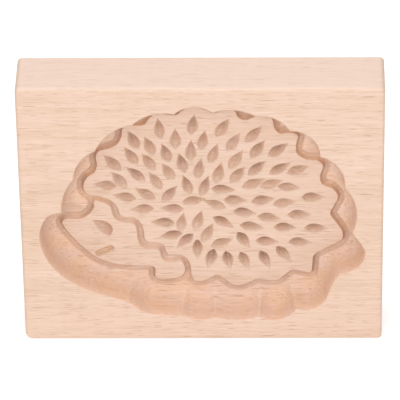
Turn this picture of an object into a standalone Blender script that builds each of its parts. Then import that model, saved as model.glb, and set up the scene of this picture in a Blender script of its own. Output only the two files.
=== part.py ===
"""Butter mold: one solid block of beech with a hedgehog carved into its front face.

Frame: origin at the middle of the bottom edge face, +X along the width (to the right when the
carving is looked at), -Y out of the carved face, +Z up the height.  Lengths below are millimetres
and are turned into metres when the mesh is made.
"""
import math

import bmesh
import bpy
import numpy as np
from mathutils.geometry import delaunay_2d_cdt

MM = 0.001

# Block.
WIDTH = 120.0
HEIGHT = 100.0
THICKNESS = 20.0
CORNER_RADIUS = 1.5
LOW_LEFT_CORNER_RADIUS = 2.6
MIN_CORNER_RADIUS = 0.4
EDGE_RADIUS = 1.0
TOP_EDGE_RADIUS = 1.6
ARRIS_SEGMENTS = 4
CORNER_SEGMENTS = 4

# Depths of the carving below the front face.
TROUGH_DEPTH = 10.8
PLATEAU_DEPTH = 10.3
GROOVE_DEPTH = 1.35
QUILL_DEPTH = 3.0
EYE_DEPTH = 2.3
MOUTH_DEPTH = 1.2

# Wall between the rim on the front face and the floor: rounded rim, short draft, wide fillet.
RIM_ROUND = 0.45
WALL_DRAFT = 0.6
FOOT_FILLET_WIDTH = 4.8
FOOT_FILLET_HEIGHT = 7.0

# Ridges that run down the wall from the rim's cusps, where two round lobes meet.
LOBE_RADIUS = 24.0
LOBE_REACH = 14.4
RIDGE_ROUND = 0.9
RIDGE_LENGTH = 7.5

# Groove round the raised body and face, deepest near the raised edge, and one even groove where
# body and face come close together.  Quill cuts have a blunt end and a thin one, which points away
# from the animal's middle, and each is deepest towards its upper end.
GROOVE_WIDTH = 2.36
GROOVE_SHOULDER = 1.25
GROOVE_LEAN = 0.85
NARROW_GROOVE = 4.0
QUILL_LENGTH = 9.0
QUILL_WIDTH = 4.1
QUILL_BLUNT_END = 1.05
QUILL_THIN_END = 1.75
QUILL_SHOULDER = 1.75
QUILL_SKEW = 0.5
QUILL_MIDDLE = (0.0, 35.0)
QUILL_SEED = 300

# Spacing of the mesh along the curves, and the least distance between its points.
CURVE_STEP = 1.6
EYE_STEP = 0.8
LEAST_GAP = 0.32

# Rim of the carving on the front face.  Each run goes from one cusp to the next; three points make
# a circular arc and more points make a smooth curve.
RIM_RUNS = (
    (
        (-46.3, 51.5), (-50.8, 49.8), (-53.8, 42.5), (-51.9, 33.2), (-46.4, 25.5), (-36.5, 19.4),
        (-25.0, 15.7),
    ),
    ((-25.0, 15.7), (-19.2, 10.9), (-13.5, 9.9), (-7.0, 10.0)),
    ((-7.0, 10.0), (-1.5, 8.0), (4.0, 8.9)),
    ((4.0, 8.9), (11.5, 7.7), (19.0, 9.3)),
    ((19.0, 9.3), (24.3, 7.7), (31.0, 12.3)),
    (
        (31.0, 12.3), (36.0, 12.0), (40.6, 15.4), (42.6, 20.8), (45.4, 25.8), (51.4, 29.0),
        (54.1, 34.6), (49.8, 43.2),
    ),
    ((49.8, 43.2), (51.2, 51.0), (47.2, 61.0)),
    ((47.2, 61.0), (45.8, 67.8), (39.0, 73.5)),
    ((39.0, 73.5), (36.0, 80.7), (29.0, 83.5)),
    ((29.0, 83.5), (24.6, 88.0), (18.0, 89.2)),
    ((18.0, 89.2), (11.6, 91.5), (4.0, 90.5)),
    ((4.0, 90.5), (-3.6, 92.6), (-8.5, 90.0)),
    ((-8.5, 90.0), (-15.2, 90.0), (-22.0, 86.0)),
    ((-22.0, 86.0), (-29.0, 82.9), (-34.5, 75.8)),
    ((-34.5, 75.8), (-40.0, 70.9), (-42.0, 64.5)),
    ((-42.0, 64.5), (-45.2, 58.6), (-46.3, 51.5)),
)

# Edge of the raised body (fur line first, then belly, tail side and back).
BODY = (
    (-37.8, 52.1), (-34.0, 51.3), (-30.2, 49.5), (-28.2, 46.6), (-27.2, 43.6), (-25.5, 42.9),
    (-22.9, 42.7), (-20.9, 41.0), (-19.7, 37.7), (-19.3, 34.1), (-18.2, 32.8), (-14.9, 32.4),
    (-13.0, 31.3), (-12.3, 28.9), (-11.3, 27.5), (-7.5, 27.5), (-5.3, 25.8), (-4.2, 23.2),
    (-3.9, 19.6), (-2.7, 16.9), (0.0, 16.8), (2.4, 18.0), (4.7, 19.3), (7.2, 17.6), (9.8, 15.3),
    (13.1, 15.0), (16.1, 16.5), (18.7, 17.7), (22.0, 16.9), (25.2, 17.2), (27.6, 19.4),
    (30.2, 21.4), (33.1, 20.8), (36.1, 20.2), (36.7, 23.8), (37.2, 27.2), (40.3, 29.6),
    (44.0, 31.9), (46.6, 33.8), (46.7, 36.7), (44.8, 40.3), (42.6, 44.2), (43.8, 47.3),
    (45.1, 50.9), (43.4, 54.1), (40.0, 55.9), (39.1, 58.9), (40.1, 63.4), (38.3, 65.3),
    (34.4, 65.9), (31.4, 68.4), (31.3, 72.3), (31.8, 75.2), (29.2, 76.4), (26.0, 76.0),
    (24.2, 77.9), (23.3, 81.8), (21.8, 83.3), (18.4, 83.0), (14.6, 81.3), (12.2, 82.4),
    (11.0, 85.0), (7.4, 85.2), (4.0, 84.1), (1.0, 85.6), (-3.6, 86.4), (-6.2, 85.0),
    (-8.0, 83.4), (-11.0, 83.6), (-14.4, 84.2), (-17.0, 82.0), (-18.6, 79.7), (-21.2, 79.3),
    (-23.9, 79.5), (-25.7, 78.2), (-26.3, 74.9), (-27.7, 72.0), (-30.9, 70.2), (-34.0, 69.1),
    (-34.9, 67.0), (-34.6, 63.8), (-35.5, 60.9), (-37.8, 59.0), (-39.1, 56.6), (-39.2, 53.9),
)

# Edge of the raised face of the animal (brow, nose, throat, chin, then the fur line).
SNOUT = (
    (-35.7, 49.5), (-36.0, 47.1), (-37.8, 44.1), (-40.7, 42.3), (-45.8, 42.2), (-46.8, 41.1),
    (-45.8, 38.2), (-42.8, 33.9), (-39.4, 29.9), (-35.4, 26.4), (-30.5, 24.2), (-24.5, 23.3),
    (-20.9, 23.1), (-17.4, 23.0), (-16.2, 22.1), (-16.1, 20.3), (-16.0, 18.5), (-14.7, 17.5),
    (-10.8, 17.7), (-7.5, 18.8),
    (-6.2, 21.0), (-6.6, 23.6), (-7.5, 25.2), (-10.1, 24.2), (-12.6, 24.7), (-14.0, 26.4),
    (-14.6, 29.1), (-16.0, 29.8), (-18.6, 29.8), (-20.7, 31.1), (-21.8, 33.9), (-22.1, 37.7),
    (-22.8, 39.9), (-25.9, 40.8), (-28.7, 41.7), (-30.0, 44.0), (-30.8, 47.2), (-33.6, 49.0),
)

# Quill cuts: centre across and up, and the direction they lie in, in degrees from +X.
QUILLS = (
    (-13.8, 78.4, 96), (-2.7, 79.8, 80), (7.2, 78.6, 58), (17.5, 76.0, 50), (-22.6, 73.9, 115),
    (-17.3, 71.5, 112), (-8.5, 74.3, 90), (0.6, 73.6, 78), (10.7, 72.9, 58), (18.7, 70.1, 56),
    (25.6, 69.8, 38), (-23.5, 67.6, 122), (-17.7, 65.2, 122), (-11.9, 68.7, 108), (-3.5, 69.6, 88),
    (4.1, 68.4, 70), (-29.8, 64.8, 132), (-6.6, 64.7, 105), (-0.8, 62.4, 80), (11.5, 66.0, 58),
    (18.5, 62.6, 45), (26.1, 62.4, 34), (32.2, 61.8, 22), (-22.2, 60.3, 138), (-11.3, 61.3, 120),
    (5.7, 60.8, 76), (12.1, 60.0, 52), (-27.7, 58.1, 128), (-15.6, 57.7, 122), (-32.6, 55.7, 354),
    (-5.1, 56.1, 108), (1.0, 55.5, 72), (17.5, 56.4, 24), (23.4, 56.2, 20), (29.3, 54.7, 174),
    (7.5, 53.9, 176), (-19.1, 52.3, 145), (-10.6, 52.4, 52), (-26.1, 51.0, 348), (-2.3, 49.5, 10),
    (11.4, 49.5, 178), (20.5, 49.6, 192), (27.7, 48.5, 190), (37.2, 50.7, 180), (-20.4, 46.0, 4),
    (-10.5, 46.2, 356), (3.8, 48.1, 156), (14.5, 44.6, 172), (22.6, 42.5, 174), (32.6, 43.7, 182),
    (-13.6, 40.6, 356), (-6.9, 40.9, 80), (-1.3, 41.7, 72), (7.3, 40.5, 148), (16.9, 38.8, 170),
    (28.0, 38.5, 178), (38.3, 38.2, 178), (-11.1, 35.3, 12), (-6.3, 32.8, 46), (1.8, 36.6, 65),
    (6.7, 32.5, 24), (13.9, 33.1, 122), (21.8, 32.9, 176), (32.9, 32.5, 176), (-1.8, 29.3, 90),
    (2.5, 25.4, 74), (8.5, 24.8, 102), (14.1, 24.7, 112), (21.0, 25.1, 114), (27.4, 27.4, 128),
)

# Eye: a corner-shaped cut, round above and straight below, deepening away from its upper edge.
EYE = (
    (-36.5, 41.8), (-32.8, 41.3), (-31.0, 40.1), (-30.1, 38.4), (-30.2, 36.9), (-31.2, 35.2),
    (-33.6, 36.2), (-35.5, 38.5), (-36.3, 40.4),
)
EYE_CORNER = 5
EYE_LEAN = -51.0
EYE_RAMP = 3.0
EYE_RAMP_START = -0.6
EYE_WALL = 1.2

# Mouth: a short round-ended slot.
MOUTH_CENTRE = (-33.0, 29.2)
MOUTH_LENGTH = 7.0
MOUTH_WIDTH = 2.5
MOUTH_LEAN = 27.0


# Curves.
def arc_through(start, through, end, step):
    """Points of the circular arc start-through-end, without its end point."""
    (ax, az), (bx, bz), (cx, cz) = start, through, end
    turn = 2 * (ax * (bz - cz) + bx * (cz - az) + cx * (az - bz))
    sa, sb, sc = ax * ax + az * az, bx * bx + bz * bz, cx * cx + cz * cz
    ox = (sa * (bz - cz) + sb * (cz - az) + sc * (az - bz)) / turn
    oz = (sa * (cx - bx) + sb * (ax - cx) + sc * (bx - ax)) / turn
    radius = math.hypot(ax - ox, az - oz)
    first = math.atan2(az - oz, ax - ox)
    middle = (math.atan2(bz - oz, bx - ox) - first) % math.tau
    sweep = (math.atan2(cz - oz, cx - ox) - first) % math.tau
    if middle > sweep:
        sweep -= math.tau
    count = max(2, round(abs(sweep) * radius / step))
    angles = [first + sweep * i / count for i in range(count)]
    return [(ox + radius * math.cos(a), oz + radius * math.sin(a)) for a in angles]


def blend(a, b, low, high, t):
    """The point between a and b for t between low and high."""
    w = (t - low) / (high - low)
    return (a[0] + (b[0] - a[0]) * w, a[1] + (b[1] - a[1]) * w)


def smooth_curve(points, closed, step):
    """Centripetal curve through the points; an open one leaves out its last point."""
    count = len(points)
    result = []
    for i in range(count if closed else count - 1):
        p1, p2 = points[i], points[(i + 1) % count]
        before = closed or i > 0
        after = closed or i < count - 2
        p0 = points[i - 1] if before else (2 * p1[0] - p2[0], 2 * p1[1] - p2[1])
        p3 = points[(i + 2) % count] if after else (2 * p2[0] - p1[0], 2 * p2[1] - p1[1])
        t1 = math.sqrt(math.dist(p0, p1))
        t2 = t1 + math.sqrt(math.dist(p1, p2))
        t3 = t2 + math.sqrt(math.dist(p2, p3))
        pieces = max(1, round(math.dist(p1, p2) / step))
        for k in range(pieces):
            t = t1 + (t2 - t1) * k / pieces
            a1 = blend(p0, p1, 0.0, t1, t)
            a2 = blend(p1, p2, t1, t2, t)
            a3 = blend(p2, p3, t2, t3, t)
            b1 = blend(a1, a2, 0.0, t2, t)
            b2 = blend(a2, a3, t1, t3, t)
            result.append(blend(b1, b2, t1, t2, t))
    return result


def offset_loop(loop, distance):
    """Move a counter-clockwise loop outwards by distance (inwards when negative)."""
    p = np.array(loop)
    before = p - np.roll(p, 1, 0)
    after = np.roll(p, -1, 0) - p
    out = np.zeros_like(p)
    for d in (before, after):
        d /= np.linalg.norm(d, axis=1)[:, None]
        out += np.stack([d[:, 1], -d[:, 0]], 1)
    length = np.linalg.norm(out, axis=1)
    out /= length[:, None]
    return p + out * (distance * np.minimum(1.35, 2.0 / length))[:, None]


def signed_distance(points, loop):
    """Distance from each point to a closed loop, negative inside it."""
    a = np.array(loop)
    b = np.roll(a, -1, 0)
    d = b - a
    rx, rz = points[:, :1] - a[:, 0], points[:, 1:] - a[:, 1]
    t = ((rx * d[:, 0] + rz * d[:, 1]) / (d * d).sum(1)).clip(0, 1)
    near = np.hypot(rx - t * d[:, 0], rz - t * d[:, 1]).min(1)
    below = a[:, 1] <= points[:, 1:]
    above = b[:, 1] > points[:, 1:]
    side = d[:, 0] * rz - d[:, 1] * rx
    turns = (below & above & (side > 0)).sum(1) - (~below & ~above & (side < 0)).sum(1)
    return np.where(turns != 0, -near, near)


def turned(points, centre, lean):
    """Points in a frame at centre, its first axis leaning lean degrees from +X."""
    c, s = math.cos(math.radians(lean)), math.sin(math.radians(lean))
    x, z = points[:, 0] - centre[0], points[:, 1] - centre[1]
    return x * c + z * s, -x * s + z * c


def placed(points, centre, lean):
    """Points of a frame at centre, its first axis leaning lean degrees from +X, put on the face."""
    c, s = math.cos(math.radians(lean)), math.sin(math.radians(lean))
    return [(centre[0] + u * c - v * s, centre[1] + u * s + v * c) for u, v in points]


def rim_loop():
    """The whole rim, and where in it the cusps are."""
    loop, cusps = [], []
    for run in RIM_RUNS:
        cusps.append(len(loop))
        if len(run) == 3:
            loop += arc_through(*run, CURVE_STEP)
        else:
            loop += smooth_curve(run, False, CURVE_STEP)
    return loop, cusps


def eye_loop():
    """The eye's outline: a round side and a straight one."""
    upper = smooth_curve(EYE[:EYE_CORNER + 1], False, EYE_STEP)
    lower = smooth_curve(EYE[EYE_CORNER:] + EYE[:1], False, EYE_STEP)
    return (upper + lower)[::-1]


RIM, RIM_CUSPS = rim_loop()
BODY_LOOP = smooth_curve(BODY, True, CURVE_STEP)
SNOUT_LOOP = smooth_curve(SNOUT, True, CURVE_STEP)
EYE_LOOP = eye_loop()


# The carving as a depth below the front face.
def cusp_sides(i):
    """The rim's direction just before and just after the cusp at point i."""
    before, cusp, after = (np.array(RIM[k % len(RIM)]) for k in (i - 1, i, i + 1))
    return (cusp - before) / math.dist(cusp, before), (after - cusp) / math.dist(after, cusp)


def distance_in(points):
    """Distance in from the rim; below a cusp two round lobes meet in a softly rounded ridge."""
    s = -signed_distance(points, RIM)
    for i in RIM_CUSPS:
        reach = points - RIM[i]
        far = np.hypot(reach[:, 0], reach[:, 1])
        here = np.nonzero((s > 1e-4) & (far < s + 1e-4) & (far < LOBE_REACH))[0]
        sides = cusp_sides(i)
        a, b = (
            LOBE_RADIUS - np.linalg.norm(reach[here] - LOBE_RADIUS * np.array((-z, x)), axis=1)
            for x, z in sides
        )
        spread = np.minimum(RIDGE_ROUND, far[here] * (1 - sides[0] @ sides[1])) + 1e-9
        near = (1 - np.abs(a - b) / spread).clip(0, 1)
        s[here] = np.maximum(a, b) + near * near * spread / 4
    return s


def wall_depth(s):
    """Depth of the wall at distance s in from the rim."""
    foot = TROUGH_DEPTH - FOOT_FILLET_HEIGHT
    rounded = RIM_ROUND * (1 - np.sqrt(1 - (1 + s / RIM_ROUND).clip(0, 1) ** 2))
    drafted = RIM_ROUND + (foot - RIM_ROUND) * (s / WALL_DRAFT).clip(0, 1)
    fillet = FOOT_FILLET_HEIGHT * np.sqrt(1 - fillet_cosine(s) ** 2)
    return np.where(s < 0, rounded, drafted + fillet)


def fillet_cosine(s):
    """Cosine of the angle turned through in the fillet: 1 where it starts and 0 at the floor."""
    return (1 - (s - WALL_DRAFT) / FOOT_FILLET_WIDTH).clip(0, 1)


def thin_end(x, z, lean):
    """The direction of a quill's thin end, which points away from the animal's middle."""
    a = math.radians(lean)
    away = (x - QUILL_MIDDLE[0]) * math.cos(a) + (z - QUILL_MIDDLE[1]) * math.sin(a)
    return lean if away > 0 else lean + 180


QUILL_CUTS = [(x, z, thin_end(x, z, lean)) for x, z, lean in QUILLS]


def quill_shape(index):
    """Length, width, depth and skew of one quill cut; each differs a little from the next."""
    rng = np.random.RandomState(QUILL_SEED + index)
    return (
        QUILL_LENGTH * rng.uniform(0.95, 1.06),
        QUILL_WIDTH * rng.uniform(0.94, 1.06),
        QUILL_DEPTH * rng.uniform(0.88, 1.1),
        QUILL_SKEW * math.sin(math.radians(QUILL_CUTS[index][2])),
    )


def leaf_reach(w):
    """Share of a quill's full width at w, from -1 at its blunt end to 1 at the thin one."""
    a, b = QUILL_BLUNT_END, QUILL_THIN_END
    top = (2 * a / (a + b)) ** a * (2 * b / (a + b)) ** b
    return (1 + w) ** a * (1 - w) ** b / top


def leaf_cut(u, v, length, width, deep, skew):
    """Depth of a quill's scoop at u along it and v across it."""
    w = (2 * u / length).clip(-1, 1)
    reach = leaf_reach(w)
    across = (np.abs(v) / (width / 2 * reach + 1e-9)).clip(0, 1)
    return deep * reach * (1 + skew * w) * (1 - across ** 2) ** QUILL_SHOULDER


def slot_cut(u, v):
    """Depth of the mouth, a round-ended slot with a hollow bottom."""
    reach = (MOUTH_LENGTH - MOUTH_WIDTH) / 2
    r = np.hypot(np.maximum(np.abs(u) - reach, 0), v) / (MOUTH_WIDTH / 2)
    return MOUTH_DEPTH * (1 - r.clip(0, 1) ** 2)


def eye_cut(points):
    """Depth of the eye: steep at its edge, and a ramp down from its upper side."""
    inward = -signed_distance(points, EYE_LOOP)
    v = turned(points, EYE[0], EYE_LEAN)[1]
    ramp = ((v - EYE_RAMP_START) / EYE_RAMP).clip(0, 1)
    return EYE_DEPTH * np.minimum(1 - (1 - (inward / EYE_WALL).clip(0, 1)) ** 2, ramp)


def groove_share(body, snout, across):
    """Share of the groove's depth: a leaning hollow, or an even one where the groove is narrow."""
    leaning = 1 - (2 * across ** GROOVE_LEAN - 1) ** 2
    nearest = np.minimum(body, snout).clip(0, None)
    even = 1 - (2 * nearest / (body + snout).clip(0.5, None) - 1).clip(-1, 1) ** 2
    narrow = (NARROW_GROOVE + 1 - body - snout).clip(0, 1)
    return leaning + (even - leaning) * narrow


def carved_depth(points):
    """Depth of the carving below the front face at each point."""
    wall = wall_depth(distance_in(points))
    body, snout = signed_distance(points, BODY_LOOP), signed_distance(points, SNOUT_LOOP)
    across = (np.minimum(body, snout) / GROOVE_WIDTH).clip(0, 1)
    groove = GROOVE_DEPTH * groove_share(body, snout, across) ** GROOVE_SHOULDER
    step = (TROUGH_DEPTH - PLATEAU_DEPTH) * across * across * (3 - 2 * across)
    cut = eye_cut(points)
    for i, (x, z, lean) in enumerate(QUILL_CUTS):
        u, v = turned(points, (x, z), lean)
        cut = np.maximum(cut, leaf_cut(u, v, *quill_shape(i)))
    cut = np.maximum(cut, slot_cut(*turned(points, MOUTH_CENTRE, MOUTH_LEAN)))
    return np.minimum(wall, PLATEAU_DEPTH + step) + groove + cut


# Lines and points the mesh runs through, seen square on to the front face.
class Sheet:
    """Points and edges of the carved front face."""

    def __init__(self):
        self.points = []
        self.edges = []

    def loop(self, points):
        """Add a closed line that the mesh keeps as edges."""
        first, count = len(self.points), len(points)
        self.points += [(float(x), float(z)) for x, z in points]
        self.edges += [(first + i, first + (i + 1) % count) for i in range(count)]

    def loose(self, points):
        """Add single points, leaving out those too close to a point already there."""
        taken = np.array(self.points)
        for x, z in points:
            if np.hypot(taken[:, 0] - x, taken[:, 1] - z).min() > LEAST_GAP:
                self.points.append((float(x), float(z)))
                taken = np.vstack([taken, (x, z)])


def wall_lines(sheet):
    """Lines round the wall: rounded rim, draft and fillet; the lowest stop short of the grooves."""
    for s in (-RIM_ROUND, 0.0, WALL_DRAFT):
        sheet.loop(offset_loop(RIM, -s))
    for turn in (22.5, 45.0, 67.5, 90.0):
        s = WALL_DRAFT + FOOT_FILLET_WIDTH * (1 - math.cos(math.radians(turn)))
        line = offset_loop(RIM, -s)
        if turn < 60.0:
            sheet.loop(line)
            continue
        gap = np.minimum(signed_distance(line, BODY_LOOP), signed_distance(line, SNOUT_LOOP))
        sheet.loose(line[gap > GROOVE_WIDTH + LEAST_GAP])


def ridge_points():
    """Points along and beside the ridges that run in from the rim's cusps."""
    for i in RIM_CUSPS:
        before, after = cusp_sides(i)
        across = (before + after) / np.linalg.norm(before + after)
        inward = np.array((-across[1], across[0]))
        for aside in (0.0, -RIDGE_ROUND, RIDGE_ROUND):
            for out in np.arange(0.9 + abs(aside), RIDGE_LENGTH, 1.1):
                yield RIM[i] + out * inward + aside * across


def plateau_lines(sheet, loop, other):
    """The edge of one plateau, and points along its groove where the other plateau is no nearer."""
    sheet.loop(loop)
    for share in (0.44, 1.0, 0.2, 0.72):
        line = offset_loop(loop, share * GROOVE_WIDTH)
        sheet.loose(line[signed_distance(line, other) > share * GROOVE_WIDTH - 0.1])


def quill_points(sheet, quill, length, width):
    """Outline of one quill cut, its keel, and points halfway down its sides."""
    x, z, lean = quill
    stops = (-0.75, -0.45, -0.1, 0.25, 0.6)

    def side(share, along):
        return [(length / 2 * w, share * width / 2 * leaf_reach(w)) for w in along]

    outline = [(-length / 2, 0.0)] + side(-1, stops) + [(length / 2, 0.0)] + side(1, stops[::-1])
    sheet.loop(placed(outline, (x, z), lean))
    keel, halfway = (-0.6, -0.35, -0.1, 0.2, 0.5), (-0.4, -0.05, 0.3)
    inner = side(0, keel) + side(-0.5, halfway) + side(0.5, halfway)
    sheet.loose(placed(inner, (x, z), lean))


def mouth_lines(sheet):
    """Outline of the mouth, a line halfway down and its keel."""
    reach = (MOUTH_LENGTH - MOUTH_WIDTH) / 2
    for share in (1.0, 0.55):
        radius = share * MOUTH_WIDTH / 2
        outline = []
        for side in (1, -1):
            for k in range(7):
                a = math.radians(-90 + 30 * k)
                outline.append((side * (reach + radius * math.cos(a)), side * radius * math.sin(a)))
        sheet.loop(placed(outline, MOUTH_CENTRE, MOUTH_LEAN))
    keel = [(reach * w, 0.0) for w in (-1.0, -0.5, 0.0, 0.5, 1.0)]
    sheet.loose(placed(keel, MOUTH_CENTRE, MOUTH_LEAN))


def carved_sheet(boundary):
    """All the lines of the carving, inside the outline of the flat front face."""
    sheet = Sheet()
    sheet.loop(boundary)
    wall_lines(sheet)
    plateau_lines(sheet, BODY_LOOP, SNOUT_LOOP)
    plateau_lines(sheet, SNOUT_LOOP, BODY_LOOP)
    sheet.loose(ridge_points())
    for i, quill in enumerate(QUILL_CUTS):
        quill_points(sheet, quill, *quill_shape(i)[:2])
    for inward in (0.0, 0.4, 0.9):
        sheet.loop(offset_loop(EYE_LOOP, -inward))
    mouth_lines(sheet)
    return sheet


# The block.
def block_ring(side_in, top_in, front, turn):
    """One ring of the block: a rounded rectangle, its sides and its top set in by their own amount.

    front is 1 for rings of the front arris and -1 for the back one; turn runs from 0 at the face
    to 90 degrees where the arris meets the sides.
    """
    left, right = -WIDTH / 2 + side_in, WIDTH / 2 - side_in
    low, high = side_in, HEIGHT - top_in
    drop = 1.0 - math.cos(math.radians(turn))
    side_y = THICKNESS / 2 - EDGE_RADIUS * drop
    top_y = THICKNESS / 2 - (TOP_EDGE_RADIUS if front > 0 else EDGE_RADIUS) * drop
    ring = []
    corners = (
        (right, low, -90, CORNER_RADIUS), (right, high, 0, CORNER_RADIUS),
        (left, high, 90, CORNER_RADIUS), (left, low, 180, LOW_LEFT_CORNER_RADIUS),
    )
    for cx, cz, start, full in corners:
        radius = max(MIN_CORNER_RADIUS, full - side_in)
        ox = cx - math.copysign(radius, cx)
        oz = cz + (radius if cz == low else -radius)
        for k in range(CORNER_SEGMENTS + 1):
            a = math.radians(start + 90 * k / CORNER_SEGMENTS)
            share = max(0.0, math.sin(a)) ** 2
            y = side_y + (top_y - side_y) * share
            ring.append((ox + radius * math.cos(a), -front * y, oz + radius * math.sin(a)))
    return ring


def block_rings():
    """Rings of the block from the edge of the front face to the edge of the back face."""
    rings = []
    for front in (1, -1):
        turns = [90 * k / ARRIS_SEGMENTS for k in range(ARRIS_SEGMENTS + 1)]
        for turn in turns if front > 0 else reversed(turns):
            rise = 1.0 - math.sin(math.radians(turn))
            top_radius = TOP_EDGE_RADIUS if front > 0 else EDGE_RADIUS
            rings.append(block_ring(EDGE_RADIUS * rise, top_radius * rise, front, turn))
    return rings


def build_mold():
    """The whole block as one closed mesh."""
    rings = block_rings()
    boundary = [(x, z) for x, _, z in rings[0]]
    sheet = carved_sheet(boundary)
    found = delaunay_2d_cdt(sheet.points, sheet.edges, [], 0, 1e-5)
    flat = np.array([tuple(p) for p in found[0]])
    triangles, origins = found[2], found[3]

    mesh = bmesh.new()
    front = []
    for (x, z), depth in zip(flat, carved_depth(flat)):
        front.append(mesh.verts.new((x * MM, (depth - THICKNESS / 2) * MM, z * MM)))
    for triangle in triangles:
        mesh.faces.new([front[i] for i in triangle])

    count = len(boundary)
    place = {o: vert for origin, vert in zip(origins, front) for o in origin if o < count}
    loops = [[place[i] for i in range(count)]]
    for ring in rings[1:]:
        loops.append([mesh.verts.new((x * MM, y * MM, z * MM)) for x, y, z in ring])
    for near, far in zip(loops, loops[1:]):
        for i in range(count):
            j = (i + 1) % count
            mesh.faces.new((near[i], near[j], far[j], far[i]))
    mesh.faces.new(loops[-1])
    bmesh.ops.recalc_face_normals(mesh, faces=mesh.faces)
    bmesh.ops.triangulate(mesh, faces=mesh.faces)

    data = bpy.data.meshes.new("mold_block")
    mesh.to_mesh(data)
    mesh.free()
    for polygon in data.polygons:
        polygon.use_smooth = True
    data.set_sharp_from_angle(angle=math.radians(30))
    return bpy.data.objects.new("mold_block", data)


def beech():
    """Pale waxed beech."""
    material = bpy.data.materials.new("beech")
    material.use_nodes = True
    shader = material.node_tree.nodes["Principled BSDF"]
    shader.inputs["Base Color"].default_value = (0.83, 0.63, 0.49, 1.0)
    shader.inputs["Roughness"].default_value = 0.6
    material.diffuse_color = (0.83, 0.63, 0.49, 1.0)
    return material


def main():
    for old in list(bpy.data.objects):
        bpy.data.objects.remove(old, do_unlink=True)
    mold = build_mold()
    mold.data.materials.append(beech())
    bpy.context.scene.collection.objects.link(mold)


main()
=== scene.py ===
"""Looks for the butter mold: one beech block with a hedgehog carved into its front face."""
import math

import bpy
import numpy as np
from mathutils import Matrix, Vector
from mathutils.geometry import delaunay_2d_cdt


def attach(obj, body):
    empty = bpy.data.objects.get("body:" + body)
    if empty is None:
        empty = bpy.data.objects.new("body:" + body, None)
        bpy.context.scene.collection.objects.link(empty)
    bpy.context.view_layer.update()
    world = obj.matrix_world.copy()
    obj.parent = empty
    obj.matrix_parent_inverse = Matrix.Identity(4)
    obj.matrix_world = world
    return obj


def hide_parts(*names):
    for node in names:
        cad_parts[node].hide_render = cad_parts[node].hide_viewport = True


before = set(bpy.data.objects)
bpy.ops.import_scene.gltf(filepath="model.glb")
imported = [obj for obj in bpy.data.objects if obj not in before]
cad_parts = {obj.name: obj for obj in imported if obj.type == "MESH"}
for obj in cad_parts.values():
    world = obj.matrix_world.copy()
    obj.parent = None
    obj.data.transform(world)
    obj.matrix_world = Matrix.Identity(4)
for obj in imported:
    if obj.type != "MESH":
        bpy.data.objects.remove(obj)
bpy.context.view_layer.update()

MM = 0.001

# ---------------------------------------------------------------- sizes, in millimetres
# Block.
WIDTH = 120.0
HEIGHT = 100.0
THICKNESS = 20.0
CORNER_RADIUS = 1.5
LOW_LEFT_CORNER_RADIUS = 2.6
MIN_CORNER_RADIUS = 0.4
EDGE_RADIUS = 1.0
TOP_EDGE_RADIUS = 1.6

# Depths of the carving below the front face; the last four are cut into the floor.
TROUGH_DEPTH = 10.8
PLATEAU_DEPTH = 10.3
GROOVE_DEPTH = 1.35
QUILL_DEPTH = 3.0
EYE_DEPTH = 2.3
MOUTH_DEPTH = 1.2

# Wall between the rim on the front face and the floor: rounded rim, short draft, wide fillet.
RIM_ROUND = 0.45
WALL_DRAFT = 0.6
FOOT_FILLET_WIDTH = 4.8
FOOT_FILLET_HEIGHT = 7.0

# Slight waver that the cutter left near the rim.
WAVER = 0.05
WAVER_SIZE = 1.8
WAVER_SEED = 5
WAVER_FROM = -0.4
WAVER_TO = 2.5

# Ridges that run down the wall from the rim's cusps, where two round lobes meet.
LOBE_RADIUS = 24.0
LOBE_REACH = 0.6 * LOBE_RADIUS
RIDGE_ROUND = 0.9
RIDGE_LENGTH = 9.0

# Groove round the raised body and face, deepest a little towards the raised edge, and one even
# groove where body and face come close together.
GROOVE_WIDTH = 2.36
GROOVE_SHOULDER = 1.25
GROOVE_LEAN = 0.85
NARROW_GROOVE = 4.0

# Quill cuts have a blunt end and a thin one, which points away from the animal's middle, and each
# is deepest towards its upper end.
QUILL_LENGTH = 9.0
QUILL_WIDTH = 4.1
QUILL_REACH = 0.6 * QUILL_LENGTH
QUILL_BLUNT_END = 1.05
QUILL_THIN_END = 1.75
QUILL_SHOULDER = 1.75
QUILL_SKEW = 0.5
QUILL_SEED = 300
QUILL_MIDDLE = (0.0, 35.0)

# Where the colour takes another tone, much of it painted shade and highlight (under the upper rim,
# along the rim's lip, deep in the quill cuts, on the ridge crests and in the groove): how far in from
# the rim, how deep, or in shares of the groove.
SHADE_UNDER_RIM_REACH = 9.0
GROOVE_FROM_RIM = 1.5
GROOVE_TONE_START = 0.04
LIP_REACH = 0.3
DEEP_FROM = 1.3
DEEP_OVER = 1.4
CREST_OVER = 2.5
EYE_OVER = 0.4

# Spacing of the mesh.
ARRIS_SEGMENTS = 10
CORNER_SEGMENTS = 8
LONG_SIDE_PIECES = 28
SHORT_SIDE_PIECES = 24
CURVE_STEP = 0.45
EYE_STEP = 0.3
FINE_GRID = 0.36
GRID_ACROSS = (-50, 50)
GRID_UP = (10, 90)
QUILL_INSET = 0.16
CUT_INSET = 0.15
ROUND_STEPS = 8
FILLET_STEPS = 16
LEAF_STEPS = 12
SLOT_STEPS = 12
MITRE_LIMIT = 1.35
CHUNK = 2000
PROBE = 0.02
WELD = 0.0001

# Lines the mesh runs along: out from the rim, from a plateau's edge and from the eye and mouth,
# down the fillet, in shares of the groove's width, and beside a ridge.
RIM_LINES = (0.6, 0.25, 0.14, 0.05, 0.0, -0.3, -0.6, -0.9)
PLATEAU_LINES = (-0.5, -0.12, 0.0)
CUT_LINES = (0.4, 0.1, 0.0)
LEAF_MARGIN = 0.08
FILLET_LINES = 6
GROOVE_GAP = 0.05
GROOVE_LINES = (0.03, 0.09, 0.18, 0.3, 0.45, 0.62, 0.8, 0.92, 1.0, 1.08)
RIDGE_START = 0.3
RIDGE_STEP = 0.4
RIDGE_ASIDES = (-0.75, -0.4, -0.18, 0.0, 0.18, 0.4, 0.75)

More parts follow.
